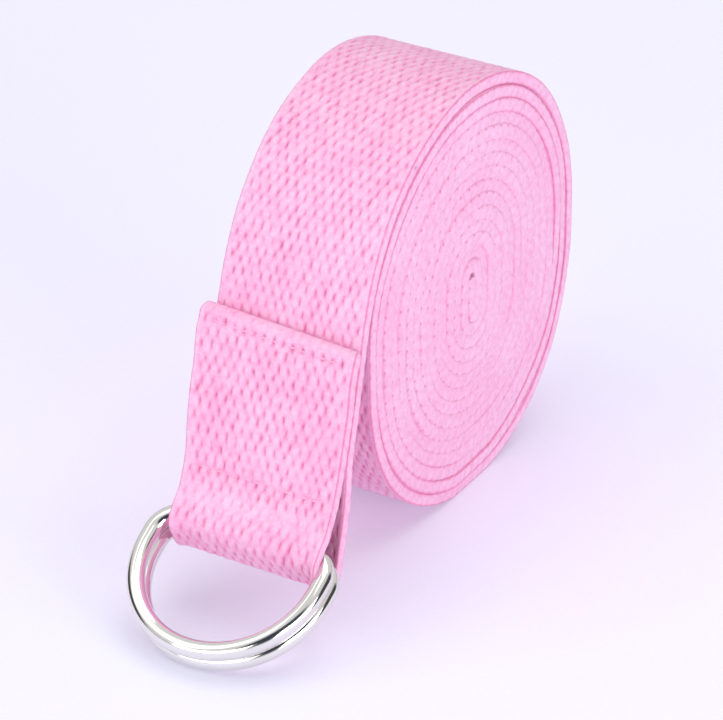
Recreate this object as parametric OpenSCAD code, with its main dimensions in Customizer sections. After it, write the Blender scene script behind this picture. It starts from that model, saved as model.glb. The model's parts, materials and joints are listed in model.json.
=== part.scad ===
// Stretching strap: one long strip of cotton webbing rolled up and stood on its edge, with its
// outer end sewn into a loop that holds two D-rings. Units are millimetres. +X is across the
// webbing, -Y is the side that the rings lie on, +Z is up, and the strap stands on z = 0.

/* [Webbing] */
// Width of the webbing
strap_w = 38; // [25:1:50]
// Thickness of the webbing
strap_t = 2.8; // [2:0.1:3]
// Air between one turn of the roll and the next
turn_gap = 0.32; // [0.3:0.02:0.8]

/* [Roll] */
// Number of turns round the free end
turns = 15; // [8:1:18]
// Length of the flat middle that the strap is wound round
core_len = 9; // [4:1:20]
// Angle, counted from +Y over the top, at which the outer end leaves the roll
leave_angle = 153; // [148:1:168]
// Width of the flat that the roll's weight presses into its underside
rest_flat = 16; // [10:1:24]

/* [Sewn end] */
// Length from the roll to the upper ring's bar
end_len = 63.5; // [50:0.5:80]
// Length of webbing folded back over the outer face, from the upper bar up
lap_len = 46.5; // [35:0.5:55]
// Length tucked under at the cut end
hem_len = 8; // [6:0.5:12]
// How far the tucked end lifts the lap's face
hem_rise = 1.2; // [0.8:0.1:2]

/* [Stitching] */
// Diameter of the sewing thread
thread_d = 0.6; // [0.4:0.1:1]
// Length of one stitch
stitch_len = 3.5; // [3:0.5:5]
// Distance of the upper row from the lap's folded edge
hem_row_in = 4; // [3:0.5:7]
// Distance of the lower row from the upper bar
ring_row_in = 11; // [9:0.5:14]
// Distance of the rows' ends from the edges of the webbing
row_margin = 3; // [1:0.5:5]

/* [D-rings] */
// Diameter of the ring wire
wire_d = 4.3; // [3:0.1:5]
// Width inside a ring, along its bar
ring_inner_w = 39.5; // [39:0.5:52]
// Radius of the bend between the bar and the bow, on the wire's middle line
ring_bend_r = 4.5; // [3:0.5:8]
// Length of the straight part between that bend and the half round
ring_straight = 4; // [0.5:0.5:8]
// Slope of the rings below the horizontal
ring_slope = 29; // [15:1:35]

/* [Hidden] */

pink = [0.98, 0.71, 0.87];
thread_pink = [0.97, 0.66, 0.84];
steel = [0.80, 0.80, 0.78];

round_fn = 96;
pitch = strap_t + turn_gap;
half_core = core_len / 2;
wire_r = wire_d / 2;
bar_gap = 0.1;              // between the two rings
bar_play = 0.9;             // between a bar and the webbing, which its ends' bends need
sink = 0.02;                // how far a straight side ends inside the round that it meets
hinge_room = 0.4;           // between the roll's cut edge and the end's rounded top
ring_half_w = (ring_inner_w + wire_d) / 2;
ring_depth = ring_bend_r + ring_straight + ring_half_w;
bar_offset = wire_d + bar_gap;

// ---- the roll, seen from +X with Y to the right, about the middle of its core ---------------
// The upper half turns share one centre and the lower ones another, half a pitch along Y.
function turn_r(k) = k * pitch;
low_r = turn_r(turns - 1) + pitch / 2 + strap_t / 2;
base_z = -half_core - sqrt(low_r * low_r - rest_flat * rest_flat / 4);
hinge = [turn_r(turns) * cos(leave_angle), half_core + turn_r(turns) * sin(leave_angle)];

// ---- the sewn end: s runs down along it from the hinge, n stands out of its outer face ------
end_way = [-sin(leave_angle), cos(leave_angle)];
end_out = [end_way[1], -end_way[0]];
lower_bar_z = base_z + wire_r + ring_depth * sin(ring_slope);
bar_way = [sin(ring_slope), -cos(ring_slope)];
upper_bar_z = lower_bar_z - bar_offset * bar_way[1];
bar_n = (upper_bar_z - hinge[1] - end_len * end_way[1]) / end_out[1];
upper_bar = hinge + end_len * end_way + bar_n * end_out;
lower_bar = upper_bar + bar_offset * bar_way;
lower_s = end_len + bar_offset * (bar_way * end_way);
lower_n = bar_n + bar_offset * (bar_way * end_out);
seam_s = end_len - lap_len;
lap_face = strap_t * 1.5;
hem_face = lap_face + hem_rise;

// The part is moved so that the middle of its box lies over the origin
ring_front = upper_bar[0] - ring_depth * cos(ring_slope) - wire_r;
roll_back = turn_r(turns) + strap_t / 2;
shift = [-(ring_front + roll_back) / 2, -base_z];

// A strip's bend about c on the layer of radius r, from angle a0 to a1
module bend(c, r, a0, a1) {
    translate([-strap_w / 2, c[0] + shift[0], c[1] + shift[1]])
        rotate([90, 0, 90])
            rotate([0, 0, a0])
                rotate_extrude(angle = a1 - a0, $fn = round_fn)
                    translate([r - strap_t / 2, 0])
                        square([strap_t, strap_w]);
}
// A strip's straight length up the side at y
module upright(y, z0, z1) {
    translate([-strap_w / 2, y - strap_t / 2 + shift[0], z0 + shift[1]])
        cube([strap_w, strap_t, z1 - z0]);
}

module webbing_roll() {
    end_cut = (strap_t / 2 + hinge_room) / turn_r(turns) * 180 / PI;
    color(pink)
        difference() {
            union() {
                upright(0, -half_core, half_core);
                for (k = [0 : turns - 1]) {
                    bend([pitch / 2, -half_core], turn_r(k) + pitch / 2, 180, 360);
                    upright(turn_r(k + 1), -half_core, half_core);
                }
                for (k = [1 : turns - 1]) {
                    bend([0, half_core], turn_r(k), 0, 180);
                    upright(-turn_r(k), -half_core, half_core);
                }
                bend([0, half_core], turn_r(turns), 0, leave_angle - end_cut);
            }
            translate([-strap_w, shift[0] - low_r, -strap_t])
                cube([2 * strap_w, 2 * low_r, strap_t]);
        }
}

// Puts a shape drawn in the end's own s and n into place, as wide as the webbing
module on_end() {
    translate([-strap_w / 2, hinge[0] + shift[0], hinge[1] + shift[1]])
        rotate([90, 0, 90])
            linear_extrude(height = strap_w)
                rotate(leave_angle + 90)
                    mirror([0, 1])
                        children();
}
// Where the line from p touches the circle of radius r about c, on its left or right side
function touch(p, c, r, side) =
    let (d = p - c, a = side * acos(r / norm(d)), u = d / norm(d))
    c + r * [u[0] * cos(a) - u[1] * sin(a), u[0] * sin(a) + u[1] * cos(a)];

// A band of half-width r round the line between the two bars
module round_bars(r) {
    for (bar = [[end_len, bar_n], [lower_s, lower_n]])
        translate(bar)
            circle(r, $fn = round_fn);
    translate([end_len, bar_n])
        rotate(atan2(lower_n - bar_n, lower_s - end_len))
            translate([0, -r + sink])
                square([bar_offset, 2 * (r - sink)]);
}

module webbing_end() {
    face = strap_t / 2;
    fold_r = wire_r + bar_play + strap_t;
    hem_r = (strap_t + hem_rise) / 2;
    bar = [end_len, bar_n];
    low_bar = [lower_s, lower_n];
    lap_from = [end_len - 13, lap_face];
    base_from = [end_len - 16, -face];
    color(pink)
        on_end()
            difference() {
                union() {
                    circle(face, $fn = round_fn);
                    translate([seam_s + hem_r, face + hem_r]) circle(hem_r, $fn = round_fn);
                    polygon([[0, -face], base_from, touch(base_from, low_bar, fold_r - sink, 1), low_bar,
                             bar, touch(lap_from, bar, fold_r - sink, -1), lap_from,
                             [seam_s + hem_len + 6, lap_face], [seam_s + hem_len, hem_face],
                             [seam_s + hem_r, hem_face], [seam_s + hem_r, face], [0, face]]);
                    round_bars(fold_r);
                }
                round_bars(wire_r + bar_play);
            }
}

// One D-ring with its bar along X through the origin and its bow towards -Y
module d_ring() {
    bar_half = ring_half_w - ring_bend_r;
    color(steel) {
        rotate([0, 90, 0])
            cylinder(h = 2 * bar_half, r = wire_r, center = true, $fn = round_fn);
        for (side = [0, 180])
            rotate([0, side, 0]) {
                translate([bar_half, -ring_bend_r, 0])
                    rotate_extrude(angle = 90, $fn = round_fn)
                        translate([ring_bend_r, 0]) circle(wire_r, $fn = round_fn);
                translate([ring_half_w, -ring_bend_r, 0])
                    rotate([90, 0, 0])
                        cylinder(h = ring_straight, r = wire_r, $fn = round_fn);
            }
        translate([0, -ring_bend_r - ring_straight, 0])
            rotate([0, 0, 180])
                rotate_extrude(angle = 180, $fn = round_fn)
                    translate([ring_half_w, 0]) circle(wire_r, $fn = round_fn);
    }
}
module ring_at(bar) {
    translate([0, bar[0] + shift[0], bar[1] + shift[1]])
        rotate([ring_slope, 0, 0])
            d_ring();
}
module upper_d_ring() { ring_at(upper_bar); }
module lower_d_ring() { ring_at(lower_bar); }

// A stitch along X of length l with a leg at each end that goes into the cloth, towards +Y
module one_stitch(l, reach) {
    rotate([0, 90, 0])
        cylinder(h = l, d = thread_d, center = true, $fn = 16);
    for (x = [-l / 2, l / 2])
        translate([x, 0, 0]) {
            sphere(d = thread_d, $fn = 16);
            rotate([-90, 0, 0])
                cylinder(h = reach, d = thread_d, $fn = 16);
        }
}
// A row of stitches across the webbing at s, on the face at height n, with legs down to n_in
module stitch_row(s, n, n_in) {
    count = floor((strap_w - 2 * row_margin) / stitch_len);
    place = hinge + s * end_way + n * end_out + shift;
    color(thread_pink)
        translate([0, place[0], place[1]])
            rotate([leave_angle - 180 + (n > n_in ? 0 : 180), 0, 0])
                for (i = [0 : count - 1])
                    translate([(i + 0.5 - count / 2) * stitch_len, 0, 0])
                        one_stitch(stitch_len - 1.5 * thread_d, abs(n - n_in));
}
hem_row_s = seam_s + hem_row_in;
ring_row_s = end_len - ring_row_in;
lock_n = strap_t / 2;       // where the two threads of a row meet
module hem_needle_thread() { stitch_row(hem_row_s, hem_face + 0.1, lock_n + thread_d / 2); }
module hem_bobbin_thread() { stitch_row(hem_row_s, -strap_t / 2 - 0.1, lock_n - thread_d / 2); }
module ring_needle_thread() { stitch_row(ring_row_s, lap_face + 0.3, lock_n + thread_d / 2); }
module ring_bobbin_thread() { stitch_row(ring_row_s, -strap_t / 2 - 0.1, lock_n - thread_d / 2); }

webbing_roll();
webbing_end();
upper_d_ring();
lower_d_ring();
hem_needle_thread();
hem_bobbin_thread();
ring_needle_thread();
ring_bobbin_thread();
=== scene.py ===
"""Rolled cotton stretching strap with two D-rings. Lengths are in millimetres until a mesh is made."""
import json
import math

import bmesh
import bpy
import numpy as np
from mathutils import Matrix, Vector


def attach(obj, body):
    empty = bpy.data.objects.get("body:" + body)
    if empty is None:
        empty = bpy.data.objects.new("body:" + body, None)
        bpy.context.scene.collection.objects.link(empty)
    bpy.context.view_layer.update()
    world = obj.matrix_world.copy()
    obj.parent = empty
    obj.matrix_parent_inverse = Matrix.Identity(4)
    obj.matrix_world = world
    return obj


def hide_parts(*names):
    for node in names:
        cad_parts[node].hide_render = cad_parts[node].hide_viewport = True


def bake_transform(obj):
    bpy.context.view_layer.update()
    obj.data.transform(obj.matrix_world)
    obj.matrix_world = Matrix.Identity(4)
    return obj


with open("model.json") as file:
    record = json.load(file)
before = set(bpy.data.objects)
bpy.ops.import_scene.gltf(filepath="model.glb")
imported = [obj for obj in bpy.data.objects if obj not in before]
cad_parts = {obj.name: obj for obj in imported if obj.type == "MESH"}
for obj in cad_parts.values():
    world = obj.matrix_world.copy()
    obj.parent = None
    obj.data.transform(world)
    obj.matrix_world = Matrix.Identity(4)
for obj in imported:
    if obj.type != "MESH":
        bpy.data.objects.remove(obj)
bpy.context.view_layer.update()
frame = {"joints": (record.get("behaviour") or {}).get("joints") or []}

MM = 0.001

# ---- sizes shared with the CAD part ---------------------------------------------------------
STRAP_W = 38.0
STRAP_T = 2.8
PITCH = 3.12
TURNS = 15
HALF_CORE = 4.5
LEAVE = math.radians(153.0)
REST_FLAT = 16.0
END_LEN = 63.5
LAP_LEN = 46.5
HEM_LEN = 8.0
WIRE_R = 2.15
RING_INNER_W = 39.5
RING_BEND_R = 6.5           # softer than in the CAD, in the same outline
RING_STRAIGHT = 2.0
RING_SLOPE = math.radians(29.0)
RING_HALF_W = RING_INNER_W / 2 + WIRE_R
RING_HALF_BAR = RING_HALF_W - RING_BEND_R
LOW_R = (TURNS - 0.5) * PITCH + STRAP_T / 2     # the roll's outer radius below its core

joints = {j["name"]: j for j in frame["joints"]}
hinge = np.array(joints["end_lift"]["pos_m"][1:3]) / MM
upper_bar = np.array(joints["upper_ring_swing"]["pos_m"][1:3]) / MM
lower_bar = np.array(joints["lower_ring_swing"]["pos_m"][1:3]) / MM
leave_at = np.array([TURNS * PITCH * math.cos(LEAVE), HALF_CORE + TURNS * PITCH * math.sin(LEAVE)])
centre = hinge - leave_at
end_way = np.array([-math.sin(LEAVE), math.cos(LEAVE)])
end_out = np.array([end_way[1], -end_way[0]])

# ---- weave ----------------------------------------------------------------------------------
COLUMNS = 32                # columns of grains across the strap
COLUMN_W = STRAP_W / COLUMNS
GRAIN = 5.4                 # distance from one grain to the next along a column
GRAIN_HALF_W = 1.15
GRAIN_HALF_L = 2.75
SLIT_HALF_W = 0.25          # the slit between two grains, side by side
SLIT_HALF_L = 1.05
SLIT_DEPTH = 0.58           # of a grain's own height
LEAN = -0.05                # how far grains lean across per unit of their length
EDGE_CORD = 1.5             # width of the plain cord along each edge
EDGE_LOOP = 3.4             # distance between the weft's loops on the strap's edges
RELIEF = 0.50               # height of a grain over the hollows round it
EVEN_HEIGHT = 0.93          # the weave's even height where it is evened out, which also makes its colour lighter
EDGE_ROUND = 0.55           # how far in from its edge the strap starts to round off
STEP = 0.5                  # distance between cross-sections
FACE_N, EDGE_N = 130, 7     # points across a detailed face and round an edge
HIDDEN_N, INNER_N = 5, 3    # and across the outer turn's hidden face and the inner turns' faces

# ---- how the sewn end lies ------------------------------------------------------------------
RING_DRIFT = 4.3            # how far towards +X the rings hang
FOLD_DRIFT = 5.6            # and the fold that holds them, which lies against their +X side
HEM_DRIFT = 0.9             # and the lap's hem
LAP_SKEW = 0.045            # slope of the hem's line across the strap
SEAM = END_LEN - LAP_LEN
HEM_ROW = SEAM + 4.0
RING_ROW = END_LEN - 11.0
STITCH = 3.5
STITCHES = 9
ROW_W = 0.75                # half width of the dent that a row of stitches pulls in
ROW_DEPTH = 0.26
HOLE_R = 0.42
HOLE_DEPTH = 0.22
PLY_R = 0.15
PLY_OFF = 0.11              # from the middle of the thread to the middle of a ply
PLY_TURNS = 2.2             # twist of the plies in one stitch
THREAD_SINK = 0.60          # how far the stitches lie below the strap's face
BAR_PLAY = 0.20             # between the webbing and the rings' bars
LAP_N = 0.97 * STRAP_T      # how far the lap's middle line lies over that of its base
LAP_RISE_LEN = 12.0         # length over which the lap rises to go round the bars
HEM_RISE = 1.25             # and how much more it rises over its tucked end
HEM_T = 1.7                 # thickness of the strap where it is tucked under
HEM_TURN_R = 0.85
TONGUE = 2.0                # how far a drawn piece goes on inside the next one
TONGUE_THINNER = 0.30
SPLIT_TURN = 345.0          # the strap is drawn in three pieces, which meet this far
SPLIT_END = 24.0            # and this far before the hinge


def smooth(a, lo, hi):
    t = np.clip((a - lo) / (hi - lo), 0, 1)
    return t * t * (3 - 2 * t)


def wave(s, seed, length):
    """Smooth noise along the strap, about -1 to 1."""
    rng = np.random.default_rng(seed)
    total = np.zeros_like(s, dtype=float)
    for octave in range(4):
        turns = s / (length / 1.9 ** octave)
        total += np.sin(turns * 2 * math.pi + rng.uniform(0, 6.28)) / 1.5 ** octave
    return total / 2.2


def loop_round(at):
    """The round back, 0 to 1, of a loop of thread at a place counted in loops."""
    return np.sqrt(np.clip(1 - (1.9 * (np.mod(at, 1) - 0.5)) ** 2, 0, 1))


def grain_noise(i, j, seed):
    """A fixed random number from -1 to 1 for the grain j of column i."""
    v = np.sin(i * 127.1 + j * 311.7 + seed * 74.7) * 43758.5453
    return 2 * (v - np.floor(v)) - 1


def weave_height(x, s, side):
    """Height from 0 to 1 of the weave at x across and s along, on the outer (1) or inner (-1) face."""
    column = np.floor((x + STRAP_W / 2) / COLUMN_W)
    top = np.zeros(np.broadcast(x, s).shape)
    slit = np.zeros(top.shape)
    for di in (-1, 0, 1):
        i = column + di
        centre_x = (i + 0.5) * COLUMN_W - STRAP_W / 2
        phase = 0.5 * np.mod(i, 2) + (0.25 if side < 0 else 0.0)
        row = np.floor(s / GRAIN - phase)
        for dj in (-1, 0, 1):
            j = row + dj
            ds = s - (j + phase) * GRAIN - 0.40 * grain_noise(i, j, 1)
            lean = side * (LEAN + 0.08 * grain_noise(i, j, 5))
            dx = x - centre_x - 0.16 * grain_noise(i, j, 2) - lean * ds
            size = 1 + 0.12 * grain_noise(i, j, 3)
            r2 = (dx / (GRAIN_HALF_W * size)) ** 2 + (ds / (GRAIN_HALF_L * size)) ** 2
            top = np.maximum(top, np.sqrt(np.clip(1 - r2, 0, 1)) * (1 + 0.12 * grain_noise(i, j, 4)))
            ds = ds - 0.5 * GRAIN - 0.30 * grain_noise(i, j, 6)
            lean = side * (LEAN + 0.14 * grain_noise(i, j, 8))
            dx = x - centre_x - 0.14 * grain_noise(i, j, 7) - lean * ds
            deep = 0.66 + 0.44 * grain_noise(i, j, 9)
            slit = np.maximum(slit, deep * np.exp(-(dx / SLIT_HALF_W) ** 2 - (ds / SLIT_HALF_L) ** 2))
    height = np.clip(top - SLIT_DEPTH * slit, 0, 1)
    edge = smooth(np.abs(x), STRAP_W / 2 - EDGE_CORD, STRAP_W / 2 - 0.7)
    cord = 0.74 + 0.26 * loop_round(s / EDGE_LOOP + 0.2 * side)
    return height * (1 - edge) + cord * edge


def edge_height(layer, s, side):
    """Height from 0 to 1 of the weft's loops on an edge. layer is -1 to 1 from inner to outer face."""
    uneven = 0.22 * np.sin(s / 7.3) + 0.17 * np.sin(s / 2.9)
    return 0.62 + 0.38 * loop_round(s / EDGE_LOOP + 0.5 * (side < 0) + 0.30 * layer + uneven)


def row_dent(x, s, rows):
    """Dent and needle-hole mark, each 0 to 1, of the stitched rows that pull the cloth in."""
    dent = np.zeros(np.broadcast(x, s).shape)
    hole = np.zeros(dent.shape)
    in_row = np.abs(x) < STITCH * STITCHES / 2 + 0.5
    for row in rows:
        dent = np.maximum(dent, np.exp(-((s - row) / ROW_W) ** 2) * in_row)
        for i in range(STITCHES + 1):
            d2 = (s - row - 0.1 * grain_noise(i, 1, 9)) ** 2 + (x - (i - STITCHES / 2) * STITCH) ** 2
            hole = np.maximum(hole, (0.7 + 0.3 * grain_noise(i, 2, 9)) * np.exp(-d2 / HOLE_R ** 2))
    return dent, hole


# ---- sweeping a strip along a path ----------------------------------------------------------
def loop_samples(face_n, back_n, edge_n):
    """The cross-section's points: x and n shares, 1 face, -1 back or 0 edge, and the edge's side."""
    out = []
    flat = 0.5 - EDGE_ROUND / STRAP_W
    turn = np.linspace(math.pi / 2, -math.pi / 2, edge_n + 2)[1:-1]
    bulge = flat + EDGE_ROUND / STRAP_W * np.cos(turn) ** 0.55
    level = np.sign(turn) * np.abs(np.sin(turn)) ** 0.7
    for v in np.linspace(-flat, flat, face_n):
        out.append((v, 1.0, 1, 0.0))
    for x, n in zip(bulge, level):
        out.append((x, n, 0, 1.0))
    for v in np.linspace(flat, -flat, back_n):
        out.append((v, -1.0, -1, 0.0))
    for x, n in zip(bulge, level):
        out.append((-x, -n, 0, -1.0))
    return np.array(out)


def strip_surface(line, loop):
    """The strip's points, one row for each cross-section, and its painted shade and layer values."""
    at = {key: values[:, None] for key, values in line.items() if key != "rows"}
    half_t = at["thick"] / 2
    xs = loop[:, 0][None, :] * STRAP_W
    ns = loop[:, 1][None, :]
    kind = loop[:, 2]
    face = weave_height(xs, at["s"], 1)
    back = weave_height(xs, at["s"], -1)
    edge = edge_height(ns, at["s"], loop[:, 3][None, :])
    height = np.where(kind == 1, face, np.where(kind == -1, back, edge))
    # evened weave, flatter and lighter; on the ridge this is a painted highlight
    height = height * (1 - at["evened"]) + EVEN_HEIGHT * at["evened"]
    dent, hole = row_dent(xs, at["s"], line["rows"])
    dent = dent * (kind == -1)
    hole = hole * (kind == -1)

    relief = RELIEF * np.minimum(1, at["thick"] / STRAP_T)
    sink = relief * (1 - height) + ROW_DEPTH * dent + HOLE_DEPTH * hole
    n = np.where(kind == 0, ns * (half_t - 0.35 * sink), ns * (half_t - sink))
    n = np.where(n < 0, np.maximum(n, -at["limit_in"]), np.minimum(n, at["limit_out"]))
    round_in = np.where(kind == 0, 0.9 * sink * np.sqrt(np.clip(1 - ns ** 2, 0, 1)), 0)
    x = xs * (at["width"] / STRAP_W) - np.sign(xs) * round_in
    way = at["skew"] * x
    x = x + at["x"]

    # the fold's edges lean out along the rings, whose bars bend there
    past_bar = np.clip(np.abs(x - RING_DRIFT) - RING_HALF_BAR, 0, 0.8 * RING_BEND_R)
    lean_out = at["bulge"] * (RING_BEND_R - np.sqrt(RING_BEND_R ** 2 - past_bar ** 2))
    pts = np.empty(x.shape + (3,))
    pts[..., 0] = x
    pts[..., 1] = at["y"] + at["ny"] * n + way * end_way[0] - lean_out * math.cos(RING_SLOPE)
    pts[..., 2] = at["z"] + at["nz"] * n + way * end_way[1] - lean_out * math.sin(RING_SLOPE)

    # painted shade along the edges, in the grooves between the turns
    groove_shade = at["groove_shade"] * smooth(np.abs(ns), 0.60, 1.0) * (kind == 0)
    # painted shade, deeper pink, in the weave's hollows, the stitch dents and needle holes and the
    # grooves, with the lap's painted shade and highlight
    painted_shade = np.clip(1 - height + 0.10 * dent + 0.28 * hole + groove_shade + at["shade"], 0, 1)
    layer = np.broadcast_to(np.where(kind == 0, ns, 0.0), x.shape)
    across = np.broadcast_to(xs, x.shape)
    along = np.broadcast_to(at["s"], x.shape)
    return pts, across, along, {"painted_shade": painted_shade, "layer": layer}


def strip_mesh(name, line, loop):
    """A closed strip of webbing swept along a line, which holds values for each cross-section."""
    pts, across, along, values_of = strip_surface(line, loop)
    rows, cols = across.shape
    idx = np.arange(rows * cols).reshape(rows, cols)
    a = idx[:-1]
    b = idx[1:]
    quads = np.stack([a, np.roll(a, -1, 1), np.roll(b, -1, 1), b], -1).reshape(-1, 4)
    caps = [idx[0][::-1], idx[-1]]
    loop_v = np.concatenate([quads.ravel(), *caps])
    starts = np.concatenate([np.arange(len(quads)) * 4, [quads.size, quads.size + cols]])

    mesh = bpy.data.meshes.new(name)
    mesh.vertices.add(rows * cols)
    mesh.vertices.foreach_set("co", (pts * MM).astype(np.float32).ravel())
    mesh.loops.add(len(loop_v))
    mesh.polygons.add(len(starts))
    mesh.loops.foreach_set("vertex_index", loop_v.astype(np.int32))
    mesh.polygons.foreach_set("loop_start", starts.astype(np.int32))
    mesh.update(calc_edges=True)
    mesh.validate()
    shade = np.ones(len(mesh.polygons), bool)
    shade[-2:] = False
    mesh.polygons.foreach_set("use_smooth", shade)

    uv = mesh.uv_layers.new(name="along")
    places = np.stack([across.ravel()[loop_v], along.ravel()[loop_v]], -1) * MM
    uv.data.foreach_set("uv", places.astype(np.float32).ravel())
    for label, values in values_of.items():
        layer = mesh.attributes.new(label, "FLOAT", "POINT")
        layer.data.foreach_set("value", values.astype(np.float32).ravel())
    obj = bpy.data.objects.new(name, mesh)
    bpy.context.scene.collection.objects.link(obj)
    return obj


# ---- the strap's middle line ----------------------------------------------------------------
def roll_line():
    """The roll's middle line from the free end to the hinge, as points about the core, and its turns."""
    pts = []
    turn = []

    def add_line(y, z0, z1, k):
        m = max(2, int(abs(z1 - z0) / 0.25))
        for v in np.linspace(z0, z1, m, endpoint=False):
            pts.append((y, v))
            turn.append(k)

    def add_arc(cy, cz, r, a0, a1, k):
        m = max(8, int(r * abs(a1 - a0) / 0.25))
        for v in np.linspace(a0, a1, m, endpoint=False):
            pts.append((cy + r * math.cos(v), cz + r * math.sin(v)))
            turn.append(k + (v - math.pi) / (2 * math.pi))

    add_line(0, HALF_CORE, -HALF_CORE, 0)
    for k in range(TURNS):
        add_arc(PITCH / 2, -HALF_CORE, k * PITCH + PITCH / 2, math.pi, 2 * math.pi, k)
        add_line((k + 1) * PITCH, -HALF_CORE, HALF_CORE, k + 0.5)
        last = k == TURNS - 1
        add_arc(0, HALF_CORE, (k + 1) * PITCH, 0, LEAVE if last else math.pi, k + 1)
        if not last:
            add_line(-(k + 1) * PITCH, HALF_CORE, -HALF_CORE, k + 1)
    pts.append(tuple(leave_at))
    turn.append(TURNS + (LEAVE - math.pi) / (2 * math.pi))
    return np.array(pts), np.array(turn)


def resample(pts, step, other):
    """The distance along, the points and another value at even steps along a line."""
    seg = np.linalg.norm(np.diff(pts, axis=0), axis=1)
    at = np.concatenate([[0], np.cumsum(seg)])
    s = np.linspace(0, at[-1], int(round(at[-1] / step)) + 1)
    even = np.stack([np.interp(s, at, pts[:, i]) for i in (0, 1)], -1)
    return s, even, np.interp(s, at, other)


def normals(pts):
    """The unit normals and tangents of a line of points."""
    t = np.gradient(pts, axis=0)
    t /= np.linalg.norm(t, axis=1)[:, None]
    return np.stack([t[:, 1], -t[:, 0]], -1), t


def soften(pts, n):
    """Each point moved to the mean of its neighbours, n times, the two ends kept."""
    for _ in range(n):
        pts[1:-1] = 0.25 * pts[:-2] + 0.5 * pts[1:-1] + 0.25 * pts[2:]
    return pts


def sag(pts):
    """The strap's own weight presses the lowest turns flat."""
    flat_r = math.sqrt(LOW_R ** 2 - REST_FLAT ** 2 / 4)
    dy = pts[:, 0] - centre[0] - PITCH / 2
    press = np.sqrt(np.clip(LOW_R ** 2 - dy ** 2, 0, None)) - flat_r
    fades_up = np.exp(-np.clip(pts[:, 1], 0, None) / 16) * (pts[:, 1] < 40)
    out = pts.copy()
    out[:, 1] += np.clip(press, 0, None) * fades_up
    return out


def on_circle(c, r, angles):
    return [tuple(c + r * np.array([math.cos(v), math.sin(v)])) for v in angles]


def touch(p, c, r, side):
    """Where the line from p touches the circle of radius r about c, on its left or right side."""
    d = p - c
    a = side * math.acos(r / np.linalg.norm(d))
    u = d / np.linalg.norm(d)
    cos_a, sin_a = math.cos(a), math.sin(a)
    return c + r * np.array([u[0] * cos_a - u[1] * sin_a, u[0] * sin_a + u[1] * cos_a])


def angle_of(d):
    return math.atan2(d[1], d[0])


def end_line():
    """The sewn end's middle line, round the bars and back up to the cut edge, as s and n."""
    axes = np.stack([end_way, end_out])
    up = axes @ (upper_bar - hinge)
    low = axes @ (lower_bar - hinge)
    r = WIRE_R + BAR_PLAY + STRAP_T / 2

    # the base, down to the lower bar
    pts = [(v, 0.0) for v in np.arange(0, END_LEN - 20, 0.25)]
    base_from = np.array(pts[-1])
    t_low = touch(base_from, low, r, 1)
    pts += [tuple(base_from + (t_low - base_from) * v) for v in np.linspace(0, 1, 60)[1:]]

    # round both bars
    a0 = angle_of(t_low - low)
    a_mid = angle_of(low - up) + math.pi / 2
    while a_mid < a0:
        a_mid += 2 * math.pi
    pts += on_circle(low, r, np.linspace(a0, a_mid, 50)[1:])
    lap_from = np.array([END_LEN - LAP_RISE_LEN, LAP_N])
    t_up = touch(lap_from, up, r, -1)
    a1 = angle_of(t_up - up)
    while a1 < a_mid:
        a1 += 2 * math.pi
    pts += on_circle(up, r, np.linspace(a_mid, a1, 30))

    # the lap, which rises where its end is tucked under it
    hem_from = SEAM + HEM_LEN + 7
    hem_n = LAP_N + HEM_RISE
    fold_s = SEAM + HEM_TURN_R + 1.0
    pts += [tuple(t_up + (lap_from - t_up) * v) for v in np.linspace(0, 1, 30)[1:]]
    pts += [(v, LAP_N) for v in np.linspace(lap_from[0], hem_from, 120)[1:]]
    for v in np.linspace(0, 1, 40)[1:]:
        pts.append((hem_from - 9 * v, LAP_N + HEM_RISE * v * v * (3 - 2 * v)))
    pts += [(v, hem_n) for v in np.linspace(hem_from - 9, fold_s, 40)[1:]]
    hem_centre = np.array([fold_s, hem_n - HEM_TURN_R])
    pts += on_circle(hem_centre, HEM_TURN_R, np.linspace(math.pi / 2, 1.5 * math.pi, 24)[1:])
    pts += [(v, hem_n - 2 * HEM_TURN_R) for v in np.linspace(fold_s, SEAM + HEM_LEN, 30)[1:]]
    return np.array(pts)


core_pts, core_turn = roll_line()
core_pts = core_pts + centre
end_sn = end_line()
end_pts = hinge + end_sn[:, :1] * end_way + end_sn[:, 1:] * end_out
all_pts = np.concatenate([core_pts, end_pts[1:]])
all_turn = np.concatenate([core_turn, np.full(len(end_pts) - 1, TURNS)])
s_all, p_all, turn_all = resample(all_pts, STEP, all_turn)
p_all = soften(p_all, 3)
by_fold = (p_all - hinge) @ end_way > END_LEN - 28
lap_and_hem = s_all > s_all[-1] - LAP_LEN - HEM_LEN
near_fold = np.nonzero(by_fold & lap_and_hem)[0]
lap_rise = slice(near_fold[0], near_fold[-1])
p_all[lap_rise] = soften(p_all[lap_rise], 40)
n_all, t_all = normals(p_all)
bend_all = np.gradient(np.unwrap(np.arctan2(t_all[:, 1], t_all[:, 0])), s_all)
in_inner_turns = turn_all < TURNS - 1
s_hinge = s_all[np.argmin(np.linalg.norm(p_all - hinge, axis=1) + in_inner_turns * 1e3)]
s_end = s_all[-1]
in_roll = smooth(s_hinge - s_all, 5, 60)
in_end = (s_all > s_hinge) * 1.0
down_end = (p_all - hinge) @ end_way
s_fold = s_all[np.argmax(down_end * in_end)]
on_lap = (s_all > s_fold) * 1.0
hem_part = smooth(s_all, s_end - 9.5, s_end - 7.5)


def drift(down, lap):
    """How far towards +X the sewn end lies, down from the hinge, on its lap or on its base."""
    base = FOLD_DRIFT * smooth(down, 0, END_LEN - 4)
    share = np.clip((down - SEAM) / (END_LEN - 6 - SEAM), 0, 1)
    return np.where(lap > 0, HEM_DRIFT + (FOLD_DRIFT - HEM_DRIFT) * share ** 1.8, base)


def skew(down, lap):
    """How much a line across the lap is turned; none where it goes round the bars."""
    return np.where(lap > 0, LAP_SKEW * (1 - smooth(down, END_LEN - 24, END_LEN - 10)), 0.0)


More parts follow.
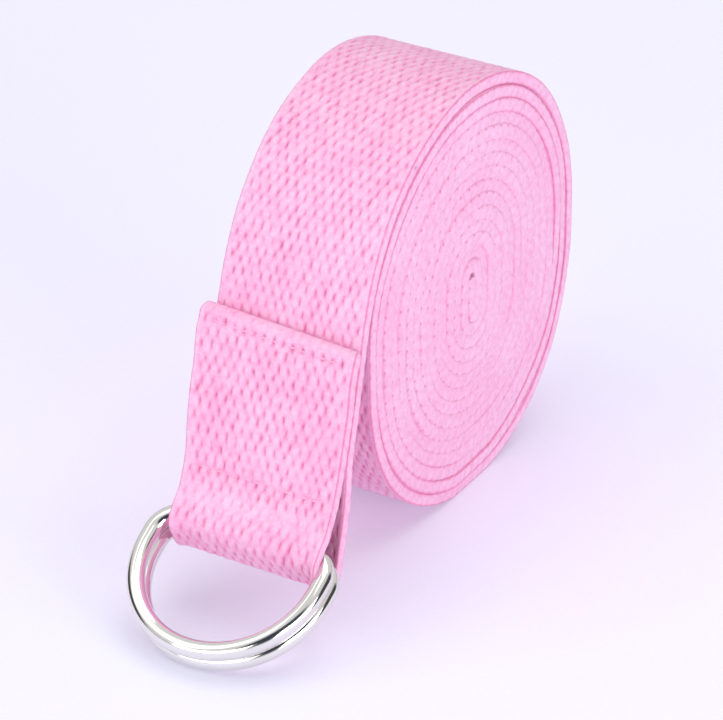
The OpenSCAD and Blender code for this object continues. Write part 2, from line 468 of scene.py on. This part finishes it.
def strip_length(down, lap):
    """The strap's own length at a place on the sewn end, on its outer layer."""
    elsewhere = (on_lap != lap) | (in_end == 0) | (hem_part > 0.4)
    return s_all[np.argmin(np.abs(down_end - down) + 1e3 * elsewhere)]


# the inner turns are pressed into each other, the outer ones lie looser
loose_all = smooth(turn_all, 12.9, 13.6)
gap_all = 0.40 * (loose_all - 1) + 0.44 * smooth(wave(s_all, 12, 260.0), 0.3, 0.9)
thick_roll = PITCH - gap_all * in_roll
thick_end = STRAP_T + 0.10 + 0.08 * wave(s_all, 3, 60.0)
thick_all = thick_roll * in_roll + thick_end * (1 - in_roll)
thick_all = thick_all * (1 - hem_part) + HEM_T * hem_part
p_all = p_all + n_all * (0.06 * wave(s_all, 5, 310.0) * in_roll)[:, None]
p_all = sag(p_all)
n_all, t_all = normals(p_all)
lap_wide = on_lap * (1 - smooth(down_end, END_LEN - 26, END_LEN - 2))
at_fold = in_end * smooth(down_end, END_LEN - 16, END_LEN - 4)
# painted highlight along the ridge where the lap turns over the upper bar and faces the light
ridge_highlight = np.exp(-((down_end - (END_LEN - 4.5)) / 2.6) ** 2)
# a face stops short of the middle of its own bend
bend_room = 0.92 / np.maximum(np.abs(bend_all), 1e-6)
# painted shade in the grooves between the turns, deeper between the loose ones
groove_shade_all = 0.16 + (0.95 + 0.25 * wave(s_all, 14, 90.0)) * smooth(turn_all, 11.8, 12.6)
width_all = STRAP_W - 0.4 + 0.30 * wave(s_all, 4, 90.0)
width_all = width_all + 3.0 * lap_wide + 1.3 * at_fold - 1.2 * hem_part
# painted shade on the front of the fold round the bars
fold_front_shade = in_end * smooth(down_end, END_LEN + 0.5, END_LEN + 3.5)
# a band along the hem's fold where the weave is evened out and lighter
hem_band = 1 - smooth(np.abs(down_end - SEAM), 2.0, 3.2)
line_all = {
    "s": s_all,
    "y": p_all[:, 0],
    "z": p_all[:, 1],
    "ny": n_all[:, 0],
    "nz": n_all[:, 1],
    "x": 0.34 * wave(s_all, 8, 170.0) * in_roll + drift(down_end, on_lap) * in_end,
    "thick": thick_all,
    "width": width_all,
    "skew": skew(down_end, on_lap) * in_end,
    # the weave evened out and lighter along the hem's fold, and as a painted highlight along the ridge
    "evened": on_lap * (0.62 * hem_band + 0.40 * ridge_highlight),
    # painted shade, deeper pink, on the lap and the fold's front, lifted on the ridge as a painted
    # highlight
    "shade": (0.06 - 0.16 * ridge_highlight) * on_lap + 0.10 * fold_front_shade,
    "bulge": 0.8 * at_fold,
    "groove_shade": groove_shade_all,
    "limit_in": np.where(bend_all > 0, bend_room, 9.0),
    "limit_out": np.where(bend_all < 0, bend_room, 9.0),
}
stitched = [strip_length(row, lap) for row in (HEM_ROW, RING_ROW) for lap in (0, 1)]


def strip(name, s0, s1, face_n, back_n, before=0.0, after=0.0):
    """The strap from s0 to s1, with thinner tongues before and after, inside the next pieces."""
    pick = np.nonzero((s_all >= s0 - before - 1e-6) & (s_all <= s1 + after + 1e-6))[0]
    line = {key: values[pick] for key, values in line_all.items()}
    past = np.maximum(s0 - line["s"], line["s"] - s1)
    line["thick"] = line["thick"] - TONGUE_THINNER * smooth(past, 0.0, TONGUE)
    line["rows"] = [row for row in stitched if s0 < row < s1]
    return strip_mesh(name, line, loop_samples(face_n, back_n, EDGE_N))


s_split_turn = s_all[np.argmin(np.abs(s_all - (s_hinge - SPLIT_TURN)))]
s_split_end = s_all[np.argmin(np.abs(s_all - (s_hinge - SPLIT_END)))]
inner = strip("strap_inner_turns", 0, s_split_turn, INNER_N, INNER_N)
outer = strip("strap_outer_turn", s_split_turn, s_split_end, FACE_N, HIDDEN_N, after=TONGUE)
end = strip("strap_sewn_end", s_split_end, s_end, FACE_N, FACE_N, before=TONGUE)
for piece in (inner, outer):
    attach(piece, "roll")


# ---- materials ------------------------------------------------------------------------------
COTTON_SHADE_STOPS = [            # colour from the top of a grain to the painted shade at the bottom of a hollow
    (0.0, (0.965, 0.600, 0.810)),
    (0.30, (0.955, 0.520, 0.745)),
    (0.55, (0.930, 0.410, 0.650)),
    (0.80, (0.870, 0.340, 0.560)),
    (1.0, (0.780, 0.230, 0.440)),
]
PIT_SHADE_PINK = (0.80, 0.28, 0.48)     # painted shade of the small holes along the strap's edges
DOT_LAYER = 0.86            # where they lie, from -1 on the inner face to 1 on the outer
DOT_HALF_L = 0.50
DOT_HALF_W = 0.30           # in layers


def new_material(name):
    m = bpy.data.materials.new(name)
    m.use_nodes = True
    nt = m.node_tree
    return m, nt, nt.nodes["Principled BSDF"]


def node(nt, kind, **values):
    """A shader node. Values that start with in_ go to its inputs, the others to its settings."""
    nd = nt.nodes.new(kind)
    for key, v in values.items():
        if key.startswith("in_"):
            nd.inputs[key[3:].replace("_", " ")].default_value = v
        else:
            setattr(nd, key, v)
    return nd


def ramp(nt, stops):
    """A colour ramp through (position, colour) stops."""
    nd = nt.nodes.new("ShaderNodeValToRGB")
    els = nd.color_ramp.elements
    while len(els) < len(stops):
        els.new(0.5)
    for e, (at, colour) in zip(els, stops):
        e.position = at
        e.color = (*colour, 1)
    return nd


def maths(nt, operation, first, second=None, clamp=False):
    """A Math node. Each input is a number or another node's output."""
    nd = node(nt, "ShaderNodeMath", operation=operation, use_clamp=clamp)
    for socket, value in zip(nd.inputs, (first, second)):
        if isinstance(value, (int, float)):
            socket.default_value = value
        elif value is not None:
            nt.links.new(value, socket)
    return nd.outputs[0]


def multiply(nt, first, second):
    nd = node(nt, "ShaderNodeMix", data_type="RGBA", blend_type="MULTIPLY")
    nd.inputs["Factor"].default_value = 1.0
    nt.links.new(first, nd.inputs["A"])
    nt.links.new(second, nd.inputs["B"])
    return nd.outputs["Result"]


def noise(nt, place, scale, detail, roughness=0.5):
    """The value of a noise texture at a place."""
    nd = node(nt, "ShaderNodeTexNoise", in_Scale=scale, in_Detail=detail, in_Roughness=roughness)
    nt.links.new(place, nd.inputs["Vector"])
    return nd.outputs["Fac"]


def ramp_of(nt, value, stops):
    nd = ramp(nt, stops)
    nt.links.new(value, nd.inputs["Fac"])
    return nd.outputs["Color"]


def spread(nt, value, low, high):
    """A 0 to 1 value spread from low to high."""
    nd = node(nt, "ShaderNodeMapRange")
    nd.inputs["To Min"].default_value = low
    nd.inputs["To Max"].default_value = high
    nt.links.new(value, nd.inputs["Value"])
    return nd.outputs["Result"]


def bumped(nt, height, strength, distance, normal=None):
    nd = node(nt, "ShaderNodeBump", in_Strength=strength, in_Distance=distance)
    nt.links.new(height, nd.inputs["Height"])
    if normal is not None:
        nt.links.new(normal, nd.inputs["Normal"])
    return nd.outputs["Normal"]


def edge_hole_shade(nt, uv, jitter):
    """Mask of the painted shade in the small holes between the weft loops, in a row along each layer of
    the roll.
    """
    layer = node(nt, "ShaderNodeAttribute", attribute_name="layer")
    split = node(nt, "ShaderNodeSeparateXYZ")
    nt.links.new(uv, split.inputs["Vector"])
    loops = maths(nt, "MULTIPLY", split.outputs["Y"], 1 / (EDGE_LOOP * MM))
    moved = maths(nt, "ADD", loops, maths(nt, "MULTIPLY", jitter, 1.6))
    along = maths(nt, "SUBTRACT", maths(nt, "FRACT", moved), 0.5)
    across = maths(nt, "SUBTRACT", layer.outputs["Fac"], DOT_LAYER)
    d_along = maths(nt, "MULTIPLY", along, EDGE_LOOP / DOT_HALF_L)
    d_across = maths(nt, "MULTIPLY", across, 1 / DOT_HALF_W)
    along2 = maths(nt, "MULTIPLY", d_along, d_along)
    across2 = maths(nt, "MULTIPLY", d_across, d_across)
    far = maths(nt, "ADD", along2, across2)
    return maths(nt, "SUBTRACT", 1.15, far, clamp=True)


def cotton():
    """Pink cotton: painted shade, a deeper pink, in its hollows, grooves and edge holes, mottled, with
    fine fibres in its relief.
    """
    m, nt, p = new_material("pink_cotton")
    link = nt.links.new
    painted_shade = node(nt, "ShaderNodeAttribute", attribute_name="painted_shade")
    uv = node(nt, "ShaderNodeUVMap", uv_map="along").outputs["UV"]
    stretch = node(nt, "ShaderNodeMapping")
    stretch.inputs["Scale"].default_value = (1.0, 0.22, 1.0)
    stretch.inputs["Rotation"].default_value = (0, 0, math.radians(15))
    link(uv, stretch.inputs["Vector"])
    place = node(nt, "ShaderNodeTexCoord").outputs["Object"]
    fibre = noise(nt, stretch.outputs["Vector"], 5200.0, 3.0, 0.6)
    mottle = noise(nt, place, 760.0, 4.0, 0.7)
    wear = noise(nt, place, 70.0, 3.0)

    # painted shade: the pink deepens into the hollows
    shaded_pink = ramp_of(nt, painted_shade.outputs["Fac"], COTTON_SHADE_STOPS)
    spots = ramp_of(nt, mottle, [(0.32, (0.93, 0.76, 0.86)), (0.58, (1.0, 1.0, 1.0))])
    tone = ramp_of(nt, wear, [(0.36, (1.0, 0.90, 0.95)), (0.62, (1.0, 1.0, 1.0))])
    # painted shade of the holes between the weft loops on the edges
    with_pit_shade = node(nt, "ShaderNodeMix", data_type="RGBA")
    uneven = maths(nt, "MULTIPLY", mottle, 1.5)
    link(maths(nt, "MULTIPLY", edge_hole_shade(nt, uv, wear), uneven, clamp=True), with_pit_shade.inputs["Factor"])
    link(multiply(nt, multiply(nt, shaded_pink, spots), tone), with_pit_shade.inputs["A"])
    with_pit_shade.inputs["B"].default_value = (*PIT_SHADE_PINK, 1)
    link(with_pit_shade.outputs["Result"], p.inputs["Base Color"])

    link(spread(nt, fibre, 0.78, 0.95), p.inputs["Roughness"])
    fine = bumped(nt, fibre, 0.55, 0.00022)
    link(bumped(nt, mottle, 0.45, 0.00030, fine), p.inputs["Normal"])
    p.inputs["Sheen Weight"].default_value = 0.25
    p.inputs["Sheen Roughness"].default_value = 0.5
    p.inputs["Sheen Tint"].default_value = (1.0, 0.86, 0.94, 1)
    p.inputs["Specular IOR Level"].default_value = 0.2
    return m


def thread_material():
    m, nt, p = new_material("pink_thread")
    place = node(nt, "ShaderNodeTexCoord").outputs["Object"]
    fleck = noise(nt, place, 2600.0, 3.0)
    tint = ramp_of(nt, fleck, [(0.3, (0.90, 0.38, 0.62)), (0.7, (0.95, 0.52, 0.76))])
    nt.links.new(tint, p.inputs["Base Color"])
    nt.links.new(bumped(nt, fleck, 0.5, 0.0001), p.inputs["Normal"])
    p.inputs["Roughness"].default_value = 0.6
    p.inputs["Sheen Weight"].default_value = 0.2
    return m


def nickel():
    m, nt, p = new_material("polished_nickel")
    place = node(nt, "ShaderNodeTexCoord").outputs["Object"]
    draw = noise(nt, place, 900.0, 4.0)
    haze = noise(nt, place, 60.0, 3.0)
    tint = ramp_of(nt, haze, [(0.3, (0.80, 0.78, 0.74)), (0.7, (0.86, 0.85, 0.83))])
    nt.links.new(tint, p.inputs["Base Color"])
    nt.links.new(spread(nt, haze, 0.06, 0.16), p.inputs["Roughness"])
    nt.links.new(bumped(nt, draw, 0.06, 0.0001), p.inputs["Normal"])
    p.inputs["Metallic"].default_value = 1.0
    return m


cotton_mat = cotton()
thread_mat = thread_material()
nickel_mat = nickel()

for piece in (inner, outer, end):
    piece.data.materials.append(cotton_mat)


# ---- D-rings --------------------------------------------------------------------------------
def tube(path, radius, around, closed, above):
    """A tube along points (x, y, z). radius is one number or one per point; above is off the path."""
    pts = np.array(path, float)
    n = len(pts)
    radius = np.broadcast_to(np.array(radius, float), (n,))
    if closed:
        tangent = np.roll(pts, -1, 0) - np.roll(pts, 1, 0)
    else:
        tangent = np.gradient(pts, axis=0)
    tangent /= np.linalg.norm(tangent, axis=1)[:, None]
    side = np.cross(tangent, above)
    side /= np.linalg.norm(side, axis=1)[:, None]
    up = np.cross(side, tangent)
    turn = (np.arange(around) / around * 2 * math.pi)[None, :, None]
    out = np.cos(turn) * side[:, None, :] + np.sin(turn) * up[:, None, :]
    ring = pts[:, None, :] + radius[:, None, None] * out
    idx = np.arange(n * around).reshape(n, around)
    nxt = np.roll(idx, -1, 0) if closed else idx[1:]
    cur = idx if closed else idx[:-1]
    quads = np.stack([cur, np.roll(cur, -1, 1), np.roll(nxt, -1, 1), nxt], -1).reshape(-1, 4).tolist()
    if not closed:
        quads += [list(idx[0][::-1]), list(idx[-1])]
    return ring.reshape(-1, 3), quads


def mesh_object(name, verts, faces, mat):
    mesh = bpy.data.meshes.new(name)
    mesh.from_pydata((np.array(verts) * MM).tolist(), [], faces)
    mesh.update()
    bm = bmesh.new()
    bm.from_mesh(mesh)
    bmesh.ops.recalc_face_normals(bm, faces=bm.faces)
    bm.to_mesh(mesh)
    bm.free()
    mesh.polygons.foreach_set("use_smooth", np.ones(len(mesh.polygons), bool))
    mesh.materials.append(mat)
    obj = bpy.data.objects.new(name, mesh)
    bpy.context.scene.collection.objects.link(obj)
    return obj


def d_ring(name, bar, body, cad_node):
    """Round wire bent to a D. The bar's middle shows the butt weld where the wire's ends meet."""
    pts = [(v, 0.0) for v in np.linspace(-RING_HALF_BAR, RING_HALF_BAR, 60, endpoint=False)]

    def add_arc(centre_u, centre_v, r, angles):
        for v in angles:
            pts.append((centre_u + r * math.cos(v), centre_v + r * math.sin(v)))

    right = np.linspace(math.pi / 2, 0, 18, endpoint=False)
    left = np.linspace(math.pi, math.pi / 2, 18, endpoint=False)
    add_arc(RING_HALF_BAR, -RING_BEND_R, RING_BEND_R, right)
    add_arc(0.0, -RING_BEND_R - RING_STRAIGHT, RING_HALF_W, np.linspace(0, -math.pi, 160))
    add_arc(-RING_HALF_BAR, -RING_BEND_R, RING_BEND_R, left)
    pts = np.array(pts)
    c, s = math.cos(RING_SLOPE), math.sin(RING_SLOPE)
    path = np.stack([RING_DRIFT + pts[:, 0], bar[0] + pts[:, 1] * c, bar[1] + pts[:, 1] * s], -1)
    weld = np.exp(-(pts[:, 0] / 0.9) ** 2) * (np.abs(pts[:, 1]) < 0.1)
    verts, faces = tube(path, WIRE_R + 0.10 * weld, 40, True, np.array([0.0, -s, c]))
    ring = mesh_object(name, verts, faces, nickel_mat)
    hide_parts(cad_node)
    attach(ring, body)


d_ring("d_ring_upper", upper_bar, "upper_ring", "upper_d_ring")
d_ring("d_ring_lower", lower_bar, "lower_ring", "lower_d_ring")


# ---- stitching ------------------------------------------------------------------------------
def stitch_row(name, row, cad_node):
    """A row of two-ply stitches sunk in the strap's inner face, at the length row along the strap."""
    at = {key: float(np.interp(row, s_all, values)) for key, values in line_all.items()}
    away = -np.array([at["ny"], at["nz"]])
    verts, faces = [], []
    t = np.linspace(0, 1, 17)
    arch = 0.20 * np.sqrt(np.sin(math.pi * t)) - 0.9 * np.abs(2 * t - 1) ** 6
    lift = at["thick"] / 2 - THREAD_SINK + arch
    for i in range(STITCHES):
        x = (i + t - STITCHES / 2) * STITCH * at["width"] / STRAP_W
        for ply in (0, 1):
            turn = 2 * math.pi * PLY_TURNS * t + ply * math.pi
            along = at["skew"] * x + 0.10 * grain_noise(i, 3, 7) * (t - 0.5) + PLY_OFF * np.cos(turn)
            height = lift + PLY_OFF * np.sin(turn)
            yz = np.array([at["y"], at["z"]]) + along[:, None] * end_way + height[:, None] * away
            path = np.stack([at["x"] + x, yz[:, 0], yz[:, 1]], -1)
            v, f = tube(path, PLY_R, 8, False, np.array([0.0, *away]))
            base = len(verts)
            verts += v.tolist()
            faces += [[base + k for k in q] for q in f]
    piece = mesh_object(name, verts, faces, thread_mat)
    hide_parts(cad_node)
    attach(piece, "sewn_end")


stitch_row("hem_stitches_outer", stitched[1], "hem_needle_thread")
stitch_row("hem_stitches_inner", stitched[0], "hem_bobbin_thread")
stitch_row("ring_stitches_outer", stitched[3], "ring_needle_thread")
stitch_row("ring_stitches_inner", stitched[2], "ring_bobbin_thread")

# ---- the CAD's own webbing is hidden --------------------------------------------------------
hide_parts("webbing_roll")
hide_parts("webbing_roll")
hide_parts("webbing_roll", "webbing_end")


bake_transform(end)

# ---- floor, light and camera ----------------------------------------------------------------
KEY_W, FILL_W, FRONT_W, TOP_W = 2.2, 6.6, 4.6, 4.8
SKY = 0.76
FLOOR_GLOW = 0.27
FLOOR_Z = -0.0002
SKY_STOPS = [               # colour from the horizon up
    (0.0, (0.55, 0.54, 0.58)),
    (0.12, (0.80, 0.80, 0.84)),
    (0.35, (1.0, 0.99, 1.0)),
    (1.0, (1.0, 1.0, 1.0)),
]
CARDS = [                   # direction, inner and outer half angle in degrees, colour
    ((0.50, -0.66, 0.56), 20, 31, (0.06, 0.07, 0.10)),
    ((0.90, 0.35, 0.16), 20, 32, (0.10, 0.09, 0.10)),
    ((-0.35, 0.85, 0.22), 16, 26, (0.12, 0.10, 0.08)),
    ((-0.90, -0.20, 0.14), 14, 24, (0.08, 0.07, 0.06)),
]


def pale_floor():
    """A large sheet of pale paper with a painted glow, like a lit table, which lifts the shadows on it.
    """
    m, nt, p = new_material("pale_paper")
    grain = noise(nt, node(nt, "ShaderNodeTexCoord").outputs["Object"], 900.0, 4.0)
    tint = ramp_of(nt, grain, [(0.3, (0.722, 0.712, 0.835)), (0.7, (0.736, 0.726, 0.850))])
    nt.links.new(tint, p.inputs["Base Color"])
    # painted glow, which lifts the floor's shadows and lights the strap a little from below
    nt.links.new(tint, p.inputs["Emission Color"])
    p.inputs["Emission Strength"].default_value = FLOOR_GLOW
    p.inputs["Roughness"].default_value = 0.75
    p.inputs["Specular IOR Level"].default_value = 0.15
    mesh = bpy.data.meshes.new("floor")
    grid = bmesh.new()
    bmesh.ops.create_grid(grid, x_segments=24, y_segments=24, size=3.0)
    grid.to_mesh(mesh)
    grid.free()
    mesh.materials.append(m)
    obj = bpy.data.objects.new("floor", mesh)
    obj.location = (0, 0, FLOOR_Z)
    bpy.context.scene.collection.objects.link(obj)


def area_light(name, place, target, size, power, colour=(1, 1, 1)):
    light = bpy.data.lights.new(name, "AREA")
    light.shape = "RECTANGLE"
    light.size, light.size_y = size
    light.energy = power
    light.color = colour
    obj = bpy.data.objects.new(name, light)
    obj.location = place
    direction = Vector(target) - Vector(place)
    obj.rotation_euler = direction.to_track_quat("-Z", "Y").to_euler()
    bpy.context.scene.collection.objects.link(obj)


pale_floor()
area_light("key", (-0.70, -0.60, 1.15), (0, 0, 0.04), (1.0, 1.0), KEY_W, (1.0, 0.985, 0.97))
area_light("fill", (1.15, -0.45, 0.36), (0, 0, 0.05), (1.0, 0.6), FILL_W, (1.0, 0.99, 0.99))
area_light("front", (-0.10, -1.25, 0.34), (0, 0, 0.03), (1.3, 0.5), FRONT_W)
area_light("top", (0.1, 0.3, 1.4), (0, 0, 0.04), (1.2, 1.0), TOP_W)


def studio_world():
    """An even white studio, a little darker low down, with a few dark cards for the metal to reflect."""
    world = bpy.data.worlds.new("studio")
    bpy.context.scene.world = world
    world.use_nodes = True
    nt = world.node_tree
    back = nt.nodes["Background"]
    back.inputs["Strength"].default_value = SKY
    coords = node(nt, "ShaderNodeTexCoord")
    split = node(nt, "ShaderNodeSeparateXYZ")
    nt.links.new(coords.outputs["Generated"], split.inputs["Vector"])
    colour = ramp_of(nt, split.outputs["Z"], SKY_STOPS)
    for way, half_in, half_out, shade in CARDS:
        dot = node(nt, "ShaderNodeVectorMath", operation="DOT_PRODUCT")
        nt.links.new(coords.outputs["Generated"], dot.inputs[0])
        dot.inputs[1].default_value = Vector(way).normalized()
        cover = node(nt, "ShaderNodeMapRange", interpolation_type="SMOOTHSTEP")
        cover.inputs["From Min"].default_value = math.cos(math.radians(half_out))
        cover.inputs["From Max"].default_value = math.cos(math.radians(half_in))
        nt.links.new(dot.outputs["Value"], cover.inputs["Value"])
        mix = node(nt, "ShaderNodeMix", data_type="RGBA")
        nt.links.new(cover.outputs["Result"], mix.inputs["Factor"])
        nt.links.new(colour, mix.inputs["A"])
        mix.inputs["B"].default_value = (*shade, 1)
        colour = mix.outputs["Result"]
    nt.links.new(colour, back.inputs["Color"])


studio_world()

# ---- camera, at the photograph's angle ------------------------------------------------------
AZ, EL, DIST = math.radians(31.0), math.radians(29.3), 0.9
FOCAL_PX = 3933.9
IMAGE_W = 723
aim = np.array([0.1, -17.9 + centre[0], 36.8]) * MM
look_back = np.array([math.sin(AZ) * math.cos(EL), -math.cos(AZ) * math.cos(EL), math.sin(EL)])
cam_data = bpy.data.cameras.new("camera")
cam_data.sensor_width = 36.0
cam_data.lens = FOCAL_PX / IMAGE_W * cam_data.sensor_width
cam = bpy.data.objects.new("camera", cam_data)
cam.location = Vector((aim + look_back * DIST).tolist())
cam.rotation_euler = Vector((-look_back).tolist()).to_track_quat("-Z", "Y").to_euler()
bpy.context.scene.collection.objects.link(cam)
bpy.context.scene.camera = cam
bpy.context.scene.view_settings.view_transform = "Standard"
